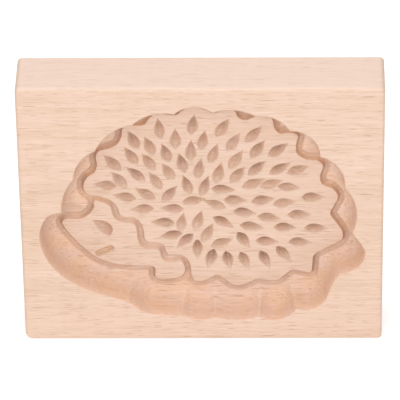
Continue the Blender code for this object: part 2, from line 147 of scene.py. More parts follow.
# Rim of the carving on the front face.  Each run goes from one cusp to the next; three points make
# a circular arc and more points make a smooth curve.
RIM_RUNS = (
    (
        (-46.3, 51.5), (-50.8, 49.8), (-53.8, 42.5), (-51.9, 33.2), (-46.4, 25.5), (-36.5, 19.4),
        (-25.0, 15.7),
    ),
    ((-25.0, 15.7), (-19.2, 10.9), (-13.5, 9.9), (-7.0, 10.0)),
    ((-7.0, 10.0), (-1.5, 8.0), (4.0, 8.9)),
    ((4.0, 8.9), (11.5, 7.7), (19.0, 9.3)),
    ((19.0, 9.3), (24.3, 7.7), (31.0, 12.3)),
    (
        (31.0, 12.3), (36.0, 12.0), (40.6, 15.4), (42.6, 20.8), (45.4, 25.8), (51.4, 29.0),
        (54.1, 34.6), (49.8, 43.2),
    ),
    ((49.8, 43.2), (51.2, 51.0), (47.2, 61.0)),
    ((47.2, 61.0), (45.8, 67.8), (39.0, 73.5)),
    ((39.0, 73.5), (36.0, 80.7), (29.0, 83.5)),
    ((29.0, 83.5), (24.6, 88.0), (18.0, 89.2)),
    ((18.0, 89.2), (11.6, 91.5), (4.0, 90.5)),
    ((4.0, 90.5), (-3.6, 92.6), (-8.5, 90.0)),
    ((-8.5, 90.0), (-15.2, 90.0), (-22.0, 86.0)),
    ((-22.0, 86.0), (-29.0, 82.9), (-34.5, 75.8)),
    ((-34.5, 75.8), (-40.0, 70.9), (-42.0, 64.5)),
    ((-42.0, 64.5), (-45.2, 58.6), (-46.3, 51.5)),
)

# Edge of the raised body: fur line first, then belly, tail side and back.
BODY = (
    (-37.8, 52.1), (-34.0, 51.3), (-30.2, 49.5), (-28.2, 46.6), (-27.2, 43.6), (-25.5, 42.9),
    (-22.9, 42.7), (-20.9, 41.0), (-19.7, 37.7), (-19.3, 34.1), (-18.2, 32.8), (-14.9, 32.4),
    (-13.0, 31.3), (-12.3, 28.9), (-11.3, 27.5), (-7.5, 27.5), (-5.3, 25.8), (-4.2, 23.2),
    (-3.9, 19.6), (-2.7, 16.9), (0.0, 16.8), (2.4, 18.0), (4.7, 19.3), (7.2, 17.6), (9.8, 15.3),
    (13.1, 15.0), (16.1, 16.5), (18.7, 17.7), (22.0, 16.9), (25.2, 17.2), (27.6, 19.4),
    (30.2, 21.4), (33.1, 20.8), (36.1, 20.2), (36.7, 23.8), (37.2, 27.2), (40.3, 29.6),
    (44.0, 31.9), (46.6, 33.8), (46.7, 36.7), (44.8, 40.3), (42.6, 44.2), (43.8, 47.3),
    (45.1, 50.9), (43.4, 54.1), (40.0, 55.9), (39.1, 58.9), (40.1, 63.4), (38.3, 65.3),
    (34.4, 65.9), (31.4, 68.4), (31.3, 72.3), (31.8, 75.2), (29.2, 76.4), (26.0, 76.0),
    (24.2, 77.9), (23.3, 81.8), (21.8, 83.3), (18.4, 83.0), (14.6, 81.3), (12.2, 82.4),
    (11.0, 85.0), (7.4, 85.2), (4.0, 84.1), (1.0, 85.6), (-3.6, 86.4), (-6.2, 85.0),
    (-8.0, 83.4), (-11.0, 83.6), (-14.4, 84.2), (-17.0, 82.0), (-18.6, 79.7), (-21.2, 79.3),
    (-23.9, 79.5), (-25.7, 78.2), (-26.3, 74.9), (-27.7, 72.0), (-30.9, 70.2), (-34.0, 69.1),
    (-34.9, 67.0), (-34.6, 63.8), (-35.5, 60.9), (-37.8, 59.0), (-39.1, 56.6), (-39.2, 53.9),
)

# Edge of the raised face: brow, nose, throat, chin, then the fur line.
SNOUT = (
    (-35.7, 49.5), (-36.0, 47.1), (-37.8, 44.1), (-40.7, 42.3), (-45.8, 42.2), (-46.8, 41.1),
    (-45.8, 38.2), (-42.8, 33.9), (-39.4, 29.9), (-35.4, 26.4), (-30.5, 24.2), (-24.5, 23.3),
    (-20.9, 23.1), (-17.4, 23.0), (-16.2, 22.1), (-16.1, 20.3), (-16.0, 18.5), (-14.7, 17.5),
    (-10.8, 17.7), (-7.5, 18.8), (-6.2, 21.0), (-6.6, 23.6), (-7.5, 25.2), (-10.1, 24.2),
    (-12.6, 24.7), (-14.0, 26.4), (-14.6, 29.1), (-16.0, 29.8), (-18.6, 29.8), (-20.7, 31.1),
    (-21.8, 33.9), (-22.1, 37.7), (-22.8, 39.9), (-25.9, 40.8), (-28.7, 41.7), (-30.0, 44.0),
    (-30.8, 47.2), (-33.6, 49.0),
)

# Quill cuts: centre across and up, and the direction they lie in, in degrees from +X.
QUILLS = (
    (-13.8, 78.4, 96), (-2.7, 79.8, 80), (7.2, 78.6, 58), (17.5, 76.0, 50), (-22.6, 73.9, 115),
    (-17.3, 71.5, 112), (-8.5, 74.3, 90), (0.6, 73.6, 78), (10.7, 72.9, 58), (18.7, 70.1, 56),
    (25.6, 69.8, 38), (-23.5, 67.6, 122), (-17.7, 65.2, 122), (-11.9, 68.7, 108), (-3.5, 69.6, 88),
    (4.1, 68.4, 70), (-29.8, 64.8, 132), (-6.6, 64.7, 105), (-0.8, 62.4, 80), (11.5, 66.0, 58),
    (18.5, 62.6, 45), (26.1, 62.4, 34), (32.2, 61.8, 22), (-22.2, 60.3, 138), (-11.3, 61.3, 120),
    (5.7, 60.8, 76), (12.1, 60.0, 52), (-27.7, 58.1, 128), (-15.6, 57.7, 122), (-32.6, 55.7, 354),
    (-5.1, 56.1, 108), (1.0, 55.5, 72), (17.5, 56.4, 24), (23.4, 56.2, 20), (29.3, 54.7, 174),
    (7.5, 53.9, 176), (-19.1, 52.3, 145), (-10.6, 52.4, 52), (-26.1, 51.0, 348), (-2.3, 49.5, 10),
    (11.4, 49.5, 178), (20.5, 49.6, 192), (27.7, 48.5, 190), (37.2, 50.7, 180), (-20.4, 46.0, 4),
    (-10.5, 46.2, 356), (3.8, 48.1, 156), (14.5, 44.6, 172), (22.6, 42.5, 174), (32.6, 43.7, 182),
    (-13.6, 40.6, 356), (-6.9, 40.9, 80), (-1.3, 41.7, 72), (7.3, 40.5, 148), (16.9, 38.8, 170),
    (28.0, 38.5, 178), (38.3, 38.2, 178), (-11.1, 35.3, 12), (-6.3, 32.8, 46), (1.8, 36.6, 65),
    (6.7, 32.5, 24), (13.9, 33.1, 122), (21.8, 32.9, 176), (32.9, 32.5, 176), (-1.8, 29.3, 90),
    (2.5, 25.4, 74), (8.5, 24.8, 102), (14.1, 24.7, 112), (21.0, 25.1, 114), (27.4, 27.4, 128),
)

# Eye: a corner-shaped cut, round above and straight below, deepening away from its upper edge.
EYE = (
    (-36.5, 41.8), (-32.8, 41.3), (-31.0, 40.1), (-30.1, 38.4), (-30.2, 36.9), (-31.2, 35.2),
    (-33.6, 36.2), (-35.5, 38.5), (-36.3, 40.4),
)
EYE_CORNER = 5
EYE_LEAN = -51.0
EYE_RAMP = 3.0
EYE_RAMP_START = -0.6
EYE_WALL = 1.2
EYE_REACH = 9.0

# Mouth: a short round-ended slot.
MOUTH_CENTRE = (-33.0, 29.2)
MOUTH_LENGTH = 7.0
MOUTH_WIDTH = 2.5
MOUTH_LEAN = 27.0


# ---------------------------------------------------------------- curves
def arc_through(start, through, end, step):
    """Points of the circular arc start-through-end, without its end point."""
    (ax, az), (bx, bz), (cx, cz) = start, through, end
    turn = 2 * (ax * (bz - cz) + bx * (cz - az) + cx * (az - bz))
    sa, sb, sc = ax * ax + az * az, bx * bx + bz * bz, cx * cx + cz * cz
    ox = (sa * (bz - cz) + sb * (cz - az) + sc * (az - bz)) / turn
    oz = (sa * (cx - bx) + sb * (ax - cx) + sc * (bx - ax)) / turn
    radius = math.hypot(ax - ox, az - oz)
    first = math.atan2(az - oz, ax - ox)
    middle = (math.atan2(bz - oz, bx - ox) - first) % math.tau
    sweep = (math.atan2(cz - oz, cx - ox) - first) % math.tau
    if middle > sweep:
        sweep -= math.tau
    count = max(2, round(abs(sweep) * radius / step))
    angles = [first + sweep * i / count for i in range(count)]
    return [(ox + radius * math.cos(a), oz + radius * math.sin(a)) for a in angles]


def blend(a, b, low, high, t):
    """The point between a and b for t between low and high."""
    w = (t - low) / (high - low)
    return (a[0] + (b[0] - a[0]) * w, a[1] + (b[1] - a[1]) * w)


def smooth_curve(points, closed, step):
    """Centripetal curve through the points; an open one leaves out its last point."""
    count = len(points)
    result = []
    for i in range(count if closed else count - 1):
        p1, p2 = points[i], points[(i + 1) % count]
        before = closed or i > 0
        after = closed or i < count - 2
        p0 = points[i - 1] if before else (2 * p1[0] - p2[0], 2 * p1[1] - p2[1])
        p3 = points[(i + 2) % count] if after else (2 * p2[0] - p1[0], 2 * p2[1] - p1[1])
        t1 = math.sqrt(math.dist(p0, p1))
        t2 = t1 + math.sqrt(math.dist(p1, p2))
        t3 = t2 + math.sqrt(math.dist(p2, p3))
        pieces = max(1, round(math.dist(p1, p2) / step))
        for k in range(pieces):
            t = t1 + (t2 - t1) * k / pieces
            a1 = blend(p0, p1, 0.0, t1, t)
            a2 = blend(p1, p2, t1, t2, t)
            a3 = blend(p2, p3, t2, t3, t)
            b1 = blend(a1, a2, 0.0, t2, t)
            b2 = blend(a2, a3, t1, t3, t)
            result.append(blend(b1, b2, t1, t2, t))
    return result


def offset_loop(loop, distance):
    """Move a counter-clockwise loop outwards by distance (inwards when negative)."""
    p = np.array(loop)
    before = p - np.roll(p, 1, 0)
    after = np.roll(p, -1, 0) - p
    out = np.zeros_like(p)
    for d in (before, after):
        d /= np.linalg.norm(d, axis=1)[:, None]
        out += np.stack([d[:, 1], -d[:, 0]], 1)
    length = np.linalg.norm(out, axis=1)
    out /= length[:, None]
    return p + out * (distance * np.minimum(MITRE_LIMIT, 2.0 / length))[:, None]


def distance_to_edges(p, a, b):
    """Signed distance from points p to the loop whose edges run from a to b, and its direction."""
    d = b - a
    dd = (d * d).sum(1)
    rx, rz = p[:, :1] - a[:, 0], p[:, 1:] - a[:, 1]
    t = ((rx * d[:, 0] + rz * d[:, 1]) / dd).clip(0, 1)
    qx, qz = rx - t * d[:, 0], rz - t * d[:, 1]
    squares = qx * qx + qz * qz
    best = squares.argmin(1)
    rows = np.arange(len(p))
    near = np.sqrt(squares[rows, best])
    below = a[:, 1] <= p[:, 1:]
    above = b[:, 1] > p[:, 1:]
    side = d[:, 0] * rz - d[:, 1] * rx
    turns = (below & above & (side > 0)).sum(1) - (~below & ~above & (side < 0)).sum(1)
    sign = np.where(turns != 0, -1.0, 1.0)
    away = np.stack([qx[rows, best], qz[rows, best]], 1)
    away = away / np.maximum(near, 1e-9)[:, None] * sign[:, None]
    along = d[best] / np.sqrt(dd[best])[:, None]
    square_on = np.stack([along[:, 1], -along[:, 0]], 1)
    return sign * near, np.where(near[:, None] > 1e-4, away, square_on)


def signed_distance(points, loop):
    """Distance from each point to a closed loop, negative inside it, and which way it grows."""
    a = np.array(loop)
    b = np.roll(a, -1, 0)
    starts = range(0, len(points), CHUNK)
    distances, grows = zip(*(distance_to_edges(points[i:i + CHUNK], a, b) for i in starts))
    return np.concatenate(distances), np.concatenate(grows)


def ripple(x, z, size, seed):
    """Smooth pseudo-random field between about -1 and 1, its bumps about size across."""
    rng = np.random.RandomState(seed)
    waves = 7
    total = np.zeros_like(x)
    for _ in range(waves):
        angle, phase = rng.uniform(0, math.tau), rng.uniform(0, math.tau)
        k = math.tau / (size * rng.uniform(0.7, 1.5))
        total += np.sin(k * (x * math.cos(angle) + z * math.sin(angle)) + phase)
    return total / 4.0


def turned(points, centre, lean):
    """Points in a frame at centre, its first axis leaning lean degrees from +X."""
    c, s = math.cos(math.radians(lean)), math.sin(math.radians(lean))
    x, z = points[:, 0] - centre[0], points[:, 1] - centre[1]
    return x * c + z * s, -x * s + z * c


def rim_loop():
    """The whole rim, and where in it the cusps are."""
    loop, cusps = [], []
    for run in RIM_RUNS:
        cusps.append(len(loop))
        if len(run) == 3:
            loop += arc_through(*run, CURVE_STEP)
        else:
            loop += smooth_curve(run, False, CURVE_STEP)
    return loop, cusps


def eye_loop():
    """The eye's outline: a round side and a straight one."""
    upper = smooth_curve(EYE[:EYE_CORNER + 1], False, EYE_STEP)
    lower = smooth_curve(EYE[EYE_CORNER:] + EYE[:1], False, EYE_STEP)
    return (upper + lower)[::-1]


RIM, RIM_CUSPS = rim_loop()
BODY_LOOP = smooth_curve(BODY, True, CURVE_STEP)
SNOUT_LOOP = smooth_curve(SNOUT, True, CURVE_STEP)
EYE_LOOP = eye_loop()


# ---------------------------------------------------------------- the carving as a height field
def cusp_sides(i):
    """The rim's direction just before and just after the cusp at point i."""
    before, cusp, after = (np.array(RIM[k % len(RIM)]) for k in (i - 1, i, i + 1))
    return [(cusp - before) / math.dist(cusp, before), (after - cusp) / math.dist(after, cusp)]


def distance_in(points):
    """Distance in from the rim, which way it grows, and 1 on the ridges below its cusps."""
    outside, grows = signed_distance(points, RIM)
    s, grows = -outside, -grows
    crest = np.zeros(len(points))
    for i in RIM_CUSPS:
        reach = points - RIM[i]
        far = np.hypot(reach[:, 0], reach[:, 1])
        here = np.nonzero((s > 1e-4) & (far < s + 1e-4) & (far < LOBE_REACH))[0]
        sides = cusp_sides(i)
        lobes = []
        for along in sides:
            away = reach[here] - LOBE_RADIUS * np.array((-along[1], along[0]))
            length = np.hypot(away[:, 0], away[:, 1])
            lobes.append((LOBE_RADIUS - length, -away / length[:, None]))
        (a, a_grows), (b, b_grows) = lobes
        spread = np.minimum(RIDGE_ROUND, far[here] * (1 - sides[0] @ sides[1])) + 1e-9
        near = (1 - np.abs(a - b) / spread).clip(0, 1)
        s[here] = np.maximum(a, b) + near * near * spread / 4
        share = np.where(a > b, 1 - near / 2, near / 2)[:, None]
        grows[here] = share * a_grows + (1 - share) * b_grows
        crest[here] = near
    return s, grows, crest


def wall_profile():
    """Distance in from the rim against depth: rounded rim, drafted wall, fillet at its foot."""
    s, depth = [-RIM_ROUND], [0.0]
    for k in range(1, ROUND_STEPS + 1):
        a = math.radians(90 * k / ROUND_STEPS)
        s.append(-RIM_ROUND + RIM_ROUND * math.sin(a))
        depth.append(RIM_ROUND * (1 - math.cos(a)))
    foot = TROUGH_DEPTH - FOOT_FILLET_HEIGHT
    for k in range(FILLET_STEPS + 1):
        a = math.radians(90 * k / FILLET_STEPS)
        s.append(WALL_DRAFT + FOOT_FILLET_WIDTH * (1 - math.cos(a)))
        depth.append(foot + FOOT_FILLET_HEIGHT * math.sin(a))
    return np.array(s), np.array(depth)


WALL_S, WALL_D = wall_profile()


def thin_end(x, z, lean):
    """The direction of a quill's thin end, which points away from the animal's middle."""
    a = math.radians(lean)
    away = (x - QUILL_MIDDLE[0]) * math.cos(a) + (z - QUILL_MIDDLE[1]) * math.sin(a)
    return lean if away > 0 else lean + 180


QUILL_CUTS = [(x, z, thin_end(x, z, lean)) for x, z, lean in QUILLS]


def quill_shape(index):
    """Length, width, depth and skew of one quill cut; each differs a little from the next."""
    rng = np.random.RandomState(QUILL_SEED + index)
    return (
        QUILL_LENGTH * rng.uniform(0.95, 1.06),
        QUILL_WIDTH * rng.uniform(0.94, 1.06),
        QUILL_DEPTH * rng.uniform(0.88, 1.1),
        QUILL_SKEW * math.sin(math.radians(QUILL_CUTS[index][2])),
    )


def leaf_reach(w):
    """Share of a quill's full width at w, from -1 at its blunt end to 1 at the thin one."""
    a, b = QUILL_BLUNT_END, QUILL_THIN_END
    top = (2 * a / (a + b)) ** a * (2 * b / (a + b)) ** b
    return (1 + w) ** a * (1 - w) ** b / top


def leaf_cut(u, v, length, width, deep, skew):
    """Depth of a quill's scoop at u along it and v across it."""
    w = (2 * u / length).clip(-1, 1)
    reach = leaf_reach(w)
    across = (np.abs(v) / (width / 2 * reach + 1e-9)).clip(0, 1)
    return deep * reach * (1 + skew * w) * (1 - across ** 2) ** QUILL_SHOULDER


def slot_cut(u, v, deep):
    """Depth of the mouth, a round-ended slot with a hollow bottom, deep at its middle."""
    reach = MOUTH_LENGTH / 2 - MOUTH_WIDTH / 2
    r = np.hypot(np.maximum(np.abs(u) - reach, 0), v) / (MOUTH_WIDTH / 2)
    return deep * (1 - r.clip(0, 1) ** 2)


def eye_cut(points, inward):
    """Depth of the eye: steep at its edge, and a ramp down from its upper side."""
    v = turned(points, EYE[0], EYE_LEAN)[1]
    ramp = ((v - EYE_RAMP_START) / EYE_RAMP).clip(0, 1)
    return EYE_DEPTH * np.minimum(1 - (1 - (inward / EYE_WALL).clip(0, 1)) ** 2, ramp)


def narrow_share(body, snout):
    """1 where body and face are so close that one even groove lies between them."""
    return (NARROW_GROOVE + 1 - body - snout).clip(0, 1)


def groove_share(body, snout, across):
    """Share of the groove's depth: a leaning hollow, or an even one where the groove is narrow."""
    leaning = 1 - (2 * across ** GROOVE_LEAN - 1) ** 2
    nearest = np.minimum(body, snout).clip(0, None)
    even = 1 - (2 * nearest / (body + snout).clip(0.5, None) - 1).clip(-1, 1) ** 2
    return leaning + (even - leaning) * narrow_share(body, snout)


def depth_from(points, s, body, snout, eye):
    """Depth of the carving at points whose distances in from the rim and the eye's edge are s and
    eye, and whose distances out from the body and the face are body and snout."""
    waver = WAVER * ripple(points[:, 0], points[:, 1], WAVER_SIZE, WAVER_SEED)
    s = s + waver * (s > WAVER_FROM) * (s < WAVER_TO)
    wall = np.interp(s, WALL_S, WALL_D)
    across = (np.minimum(body, snout) / GROOVE_WIDTH).clip(0, 1)
    groove = GROOVE_DEPTH * groove_share(body, snout, across) ** GROOVE_SHOULDER
    step = (TROUGH_DEPTH - PLATEAU_DEPTH) * across * across * (3 - 2 * across)
    cut = eye_cut(points, eye)
    for i, (x, z, lean) in enumerate(QUILL_CUTS):
        near = np.nonzero(np.hypot(points[:, 0] - x, points[:, 1] - z) < QUILL_REACH)[0]
        u, v = turned(points[near], (x, z), lean)
        cut[near] = np.maximum(cut[near], leaf_cut(u, v, *quill_shape(i)))
    cut = np.maximum(cut, slot_cut(*turned(points, MOUTH_CENTRE, MOUTH_LEAN), MOUTH_DEPTH))
    return np.minimum(wall, PLATEAU_DEPTH + step) + groove + cut


def normals_at(points, fields):
    """Unit normals of the carving, from its depth a little way to each side.

    fields holds depth_from's distances in its order, each with the direction it grows in.
    """
    slopes = []
    for axis in range(2):
        move = np.zeros(2)
        move[axis] = PROBE
        high, low = (
            depth_from(points + k * move, *(f + k * PROBE * grows[:, axis] for f, grows in fields))
            for k in (1, -1)
        )
        slopes.append((high - low) / (2 * PROBE))
    n = np.stack([slopes[0], -np.ones(len(points)), slopes[1]], 1)
    return n / np.linalg.norm(n, axis=1)[:, None]


def carved_at(points):
    """Depth of the carving at each point, its normal, and the shares its surface is painted by."""
    s, s_grows, crest = distance_in(points)
    body, body_grows = signed_distance(points, BODY_LOOP)
    snout, snout_grows = signed_distance(points, SNOUT_LOOP)
    eye, eye_grows = signed_distance(points, EYE_LOOP)
    depth = depth_from(points, s, body, snout, -eye)
    fields = ((s, s_grows), (body, body_grows), (snout, snout_grows), (-eye, -eye_grows))
    n = normals_at(points, fields)

    out = np.minimum(body, snout)
    out_grows = np.where((body < snout)[:, None], body_grows, snout_grows)
    across = (out / GROOVE_WIDTH).clip(0, 1)
    quill = (eye > 0) * (out < 0)
    on_wall = (s / WALL_DRAFT).clip(0, 1)
    # painted shade on the wall and trough just under the upper rim
    shade_under_rim = (-s_grows[:, 1]).clip(0, 1) * across * on_wall * (s < SHADE_UNDER_RIM_REACH)
    groove = (across / GROOVE_TONE_START).clip(0, 1) * (1 - across) ** 0.7 * (s > GROOVE_FROM_RIM)
    groove = groove * (1 - 0.5 * narrow_share(body, snout))
    # end-grain tone on the groove's sideways-facing walls, painted shade on its downward-facing ones
    groove_grain_and_shade = groove * np.maximum(np.abs(out_grows[:, 0]), -0.6 * out_grows[:, 1])
    facing_up = n[:, 2].clip(0, 1) * (depth > 0.5) * (1 - 0.5 * quill)
    end_grain_and_shade = np.maximum(0.2 * np.abs(n[:, 0]) * depth.clip(0, 1), groove_grain_and_shade)
    paint = {
        # painted shade deep in the quill cuts
        "deep": quill * ((depth - PLATEAU_DEPTH - DEEP_FROM) / DEEP_OVER).clip(0, 1) ** 1.3,
        # painted shade on the rim's downward-facing rounding
        "lip_shade": (-1.6 * n[:, 2]).clip(0, 1) * (s < LIP_REACH) * (depth > 0.005),
        # steepness of the cut, less on quill slopes that face up, which paints them lighter as if lit
        # from above
        "steep_and_lit_slopes": (1 - np.abs(n[:, 1])) * (1 - quill * (0.5 + 1.5 * n[:, 2]).clip(0, 0.9)),
        # end-grain tone, with painted shade under the upper rim and on the groove's downward-facing
        # walls
        "end_grain_and_shade": np.maximum(end_grain_and_shade, 0.45 * shade_under_rim),
        # painted warm shade and bounce light on upward-facing surfaces and groove walls
        "upward_warm_shade": np.maximum(groove * out_grows[:, 1].clip(0, 1), 0.45 * facing_up),
        "edge_grain_and_sheen": np.zeros(len(points)),
        "trough": across * on_wall,
        # painted highlight along the ridge crests
        "crest": crest * ((TROUGH_DEPTH - depth) / CREST_OVER).clip(0, 1) * (s / 0.5).clip(0, 1),
        # painted shade inside the eye
        "eye": (-eye / EYE_OVER).clip(0, 1),
        # painted warm shade inside the mouth
        "mouth": (slot_cut(*turned(points, MOUTH_CENTRE, MOUTH_LEAN), 1.0) * 2.5).clip(0, 1),
    }
    return depth, n, paint


# ---------------------------------------------------------------- the mesh
class Sheet:
    """Points and edges of the carved front face, seen square on."""

    def __init__(self):
        self.points = []
        self.edges = []

    def loop(self, points):
        """Add a closed line that the mesh keeps as edges."""
        first, count = len(self.points), len(points)
        self.points += [(float(x), float(z)) for x, z in points]
        self.edges += [(first + i, first + (i + 1) % count) for i in range(count)]

    def loose(self, points):
        """Add single points."""
        self.points += [(float(x), float(z)) for x, z in points]


def placed(points, centre, lean):
    """Points of a frame at centre, its first axis leaning lean degrees from +X, put on the face."""
    c, s = math.cos(math.radians(lean)), math.sin(math.radians(lean))
    return [(centre[0] + u * c - v * s, centre[1] + u * s + v * c) for u, v in points]


def leaf_loop(x, z, lean, length, width, grow):
    """Outline of a quill cut, moved out by grow millimetres."""
    outline = []
    for side in (-1, 1):
        for k in range(LEAF_STEPS):
            w = math.cos(math.pi * k / LEAF_STEPS) * side
            outline.append((length / 2 * w, side * width / 2 * leaf_reach(w)))
    loop = placed(outline, (x, z), lean)
    return offset_loop(loop, grow) if grow else loop


def slot_loop(grow):
    """Outline of the mouth, moved out by grow millimetres."""
    reach, radius = (MOUTH_LENGTH - MOUTH_WIDTH) / 2, MOUTH_WIDTH / 2 + grow
    outline = []
    for side in (1, -1):
        for k in range(SLOT_STEPS + 1):
            a = math.radians(-90 + 180 * k / SLOT_STEPS) + (0 if side > 0 else math.pi)
            outline.append((side * reach + radius * math.cos(a), radius * math.sin(a)))
    return placed(outline, MOUTH_CENTRE, MOUTH_LEAN)


def fine_points():
    """A fine grid inside the quill cuts, the eye and the mouth."""
    gx, gz = np.meshgrid(np.arange(*GRID_ACROSS, FINE_GRID), np.arange(*GRID_UP, FINE_GRID))
    gx[1::2] += FINE_GRID / 2
    points = np.stack([gx.ravel(), gz.ravel()], 1)
    inside = np.zeros(len(points), bool)
    for i, (x, z, lean) in enumerate(QUILL_CUTS):
        near = np.nonzero(np.hypot(points[:, 0] - x, points[:, 1] - z) < QUILL_REACH)[0]
        u, v = turned(points[near], (x, z), lean)
        length, width = quill_shape(i)[:2]
        side = width / 2 * leaf_reach((2 * u / length).clip(-1, 1))
        inside[near] |= np.abs(v) < side - QUILL_INSET
    near = np.hypot(points[:, 0] - EYE[2][0], points[:, 1] - EYE[2][1]) < EYE_REACH
    inside[near] |= signed_distance(points[near], EYE_LOOP)[0] < -CUT_INSET
    u, v = turned(points, MOUTH_CENTRE, MOUTH_LEAN)
    aside = np.hypot(np.maximum(np.abs(u) - (MOUTH_LENGTH - MOUTH_WIDTH) / 2, 0), v)
    return points[inside | (aside < MOUTH_WIDTH / 2 - CUT_INSET)]


def ridge_lines():
    """Points along and beside the ridges that run in from the rim's cusps."""
    for i in RIM_CUSPS:
        before, after = cusp_sides(i)
        across = (before + after) / np.linalg.norm(before + after)
        for aside in RIDGE_ASIDES:
            for out in np.arange(RIDGE_START + 1.5 * abs(aside), RIDGE_LENGTH, RIDGE_STEP):
                yield np.array(RIM[i]) + out * np.array((-across[1], across[0])) + aside * across


def groove_lines(loop, other):
    """Lines along the groove round one plateau, cut short where the other plateau is nearer."""
    for share in GROOVE_LINES:
        line = np.array(offset_loop(loop, share * GROOVE_WIDTH))
        gap, _ = signed_distance(line, other)
        yield line[gap > share * GROOVE_WIDTH + GROOVE_GAP]


def carved_sheet(edge):
    """All the lines and points of the carving, inside the outline of the flat front face."""
    sheet = Sheet()
    sheet.loop(edge)
    for out in RIM_LINES:
        sheet.loop(offset_loop(RIM, out))
    for k in range(1, FILLET_LINES + 1):
        s = float(WALL_S[ROUND_STEPS + 1 + round(k * FILLET_STEPS / FILLET_LINES)])
        sheet.loop(offset_loop(RIM, -s))
    for loop, other in ((BODY_LOOP, SNOUT_LOOP), (SNOUT_LOOP, BODY_LOOP)):
        for out in PLATEAU_LINES:
            sheet.loop(offset_loop(loop, out))
        for line in groove_lines(loop, other):
            sheet.loose(line)
    sheet.loose(fine_points())
    sheet.loose(ridge_lines())
    for i, cut in enumerate(QUILL_CUTS):
        length, width = quill_shape(i)[:2]
        sheet.loop(leaf_loop(*cut, length, width, 0.0))
        sheet.loose(leaf_loop(*cut, length, width, LEAF_MARGIN))
    for out in CUT_LINES:
        sheet.loop(offset_loop(EYE_LOOP, out))
        sheet.loop(slot_loop(out))
    return sheet


def straight_side(start, end):
    """Points between two ends of a straight side of the block, in the plane of start."""
    (ax, y, az), (bx, bz) = start, end
    pieces = LONG_SIDE_PIECES if abs(bx - ax) > abs(bz - az) else SHORT_SIDE_PIECES
    return [(ax + (bx - ax) * k / pieces, y, az + (bz - az) * k / pieces) for k in range(1, pieces)]


def block_ring(side_in, top_in, front, turn):
    """One ring of the block and its normals; sides and top are set in by their own amount.

    front is 1 for rings of the front arris and -1 for the back one; turn runs from 0 at the face
    to 90 degrees where the arris meets the sides.
    """
    left, right = -WIDTH / 2 + side_in, WIDTH / 2 - side_in
    low, high = side_in, HEIGHT - top_in
    facing, outward = math.cos(math.radians(turn)), math.sin(math.radians(turn))
    side_y = THICKNESS / 2 - EDGE_RADIUS * (1 - facing)
    top_y = THICKNESS / 2 - (TOP_EDGE_RADIUS if front > 0 else EDGE_RADIUS) * (1 - facing)
    corners = []
    for cx, cz, start, full in (
        (right, low, -90, CORNER_RADIUS), (right, high, 0, CORNER_RADIUS),
        (left, high, 90, CORNER_RADIUS), (left, low, 180, LOW_LEFT_CORNER_RADIUS),
    ):
        radius = max(MIN_CORNER_RADIUS, full - side_in)
        oz = cz + (radius if cz == low else -radius)
        corners.append((cx - math.copysign(radius, cx), oz, start, radius))
    ring, normals = [], []
    for (ox, oz, start, radius), following in zip(corners, corners[1:] + corners[:1]):
        for k in range(CORNER_SEGMENTS + 1):
            a = math.radians(start + 90 * k / CORNER_SEGMENTS)
            y = side_y + (top_y - side_y) * max(0.0, math.sin(a)) ** 2
            ring.append((ox + radius * math.cos(a), -front * y, oz + radius * math.sin(a)))
            normals.append((outward * math.cos(a), -front * facing, outward * math.sin(a)))
        ox, oz, start, radius = following
        a = math.radians(start)
        ring += straight_side(ring[-1], (ox + radius * math.cos(a), oz + radius * math.sin(a)))
        normals += [normals[-1]] * (len(ring) - len(normals))
    return ring, normals


def block_rings():
    """Rings of the block with their normals, from the front face's edge to the back face's."""
    rings = []
    for front in (1, -1):
        top_radius = TOP_EDGE_RADIUS if front > 0 else EDGE_RADIUS
        turns = [90 * k / ARRIS_SEGMENTS for k in range(ARRIS_SEGMENTS + 1)]
        for turn in turns if front > 0 else reversed(turns):
            rise = 1.0 - math.sin(math.radians(turn))
            rings.append(block_ring(EDGE_RADIUS * rise, top_radius * rise, front, turn))
    return rings


def carved_front(edge):
    """Vertices, normals, faces and painted shares of the front, and which vertices edge became."""
    sheet = carved_sheet(edge)
    found = delaunay_2d_cdt(sheet.points, sheet.edges, [], 0, WELD)
    flat = np.array([tuple(p) for p in found[0]])
    depth, normals, paint = carved_at(flat)
    where = flat.tolist()
    vertices = [(x, d - THICKNESS / 2, z) for (x, z), d in zip(where, depth.tolist())]
    normals = [tuple(n) for n in normals.tolist()]
    faces = []
    for a, b, c in found[2]:
        (ax, az), (bx, bz), (cx, cz) = where[a], where[b], where[c]
        ccw = (bx - ax) * (cz - az) - (bz - az) * (cx - ax) > 0
        faces.append((a, b, c) if ccw else (a, c, b))
    place = {o: index for index, origin in enumerate(found[3]) for o in origin}
    outline = [place[i] for i in range(len(edge))]
    for index in outline:
        normals[index] = (0.0, -1.0, 0.0)
    return vertices, normals, faces, paint, outline


def build_block():
    """The whole carved block as one closed mesh, with normals from its formulas."""
    rings = block_rings()
    edge = [(x, z) for x, _, z in rings[0][0]]
    count = len(edge)
    vertices, normals, faces, paint, last = carved_front(edge)
    for ring, ring_normals in rings[1:]:
        now = list(range(len(vertices), len(vertices) + count))
        vertices += ring
        normals += ring_normals
        facing = np.abs(np.array(ring_normals))
        # the block's ends take the end-grain tone; its top and bottom a paler tone that is partly
        # painted sheen
        shares = {"end_grain_and_shade": 0.4 * facing[:, 0], "edge_grain_and_sheen": facing[:, 2]}
        for name, values in paint.items():
            paint[name] = np.concatenate([values, shares.get(name, np.zeros(count))])
        for i in range(count):
            j = (i + 1) % count
            faces.append((last[j], last[i], now[i], now[j]))
        last = now
    faces.append(tuple(reversed(last)))

    mesh = bpy.data.meshes.new("carved_beech_block")
    mesh.from_pydata([tuple(c * MM for c in v) for v in vertices], [], faces)
    mesh.update()
    for polygon in mesh.polygons:
        polygon.use_smooth = True
    for name, values in paint.items():
        mesh.attributes.new(name, "FLOAT", "POINT").data.foreach_set("value", values)
    mesh.normals_split_custom_set_from_vertices(normals)
    return bpy.data.objects.new("carved_beech_block", mesh)


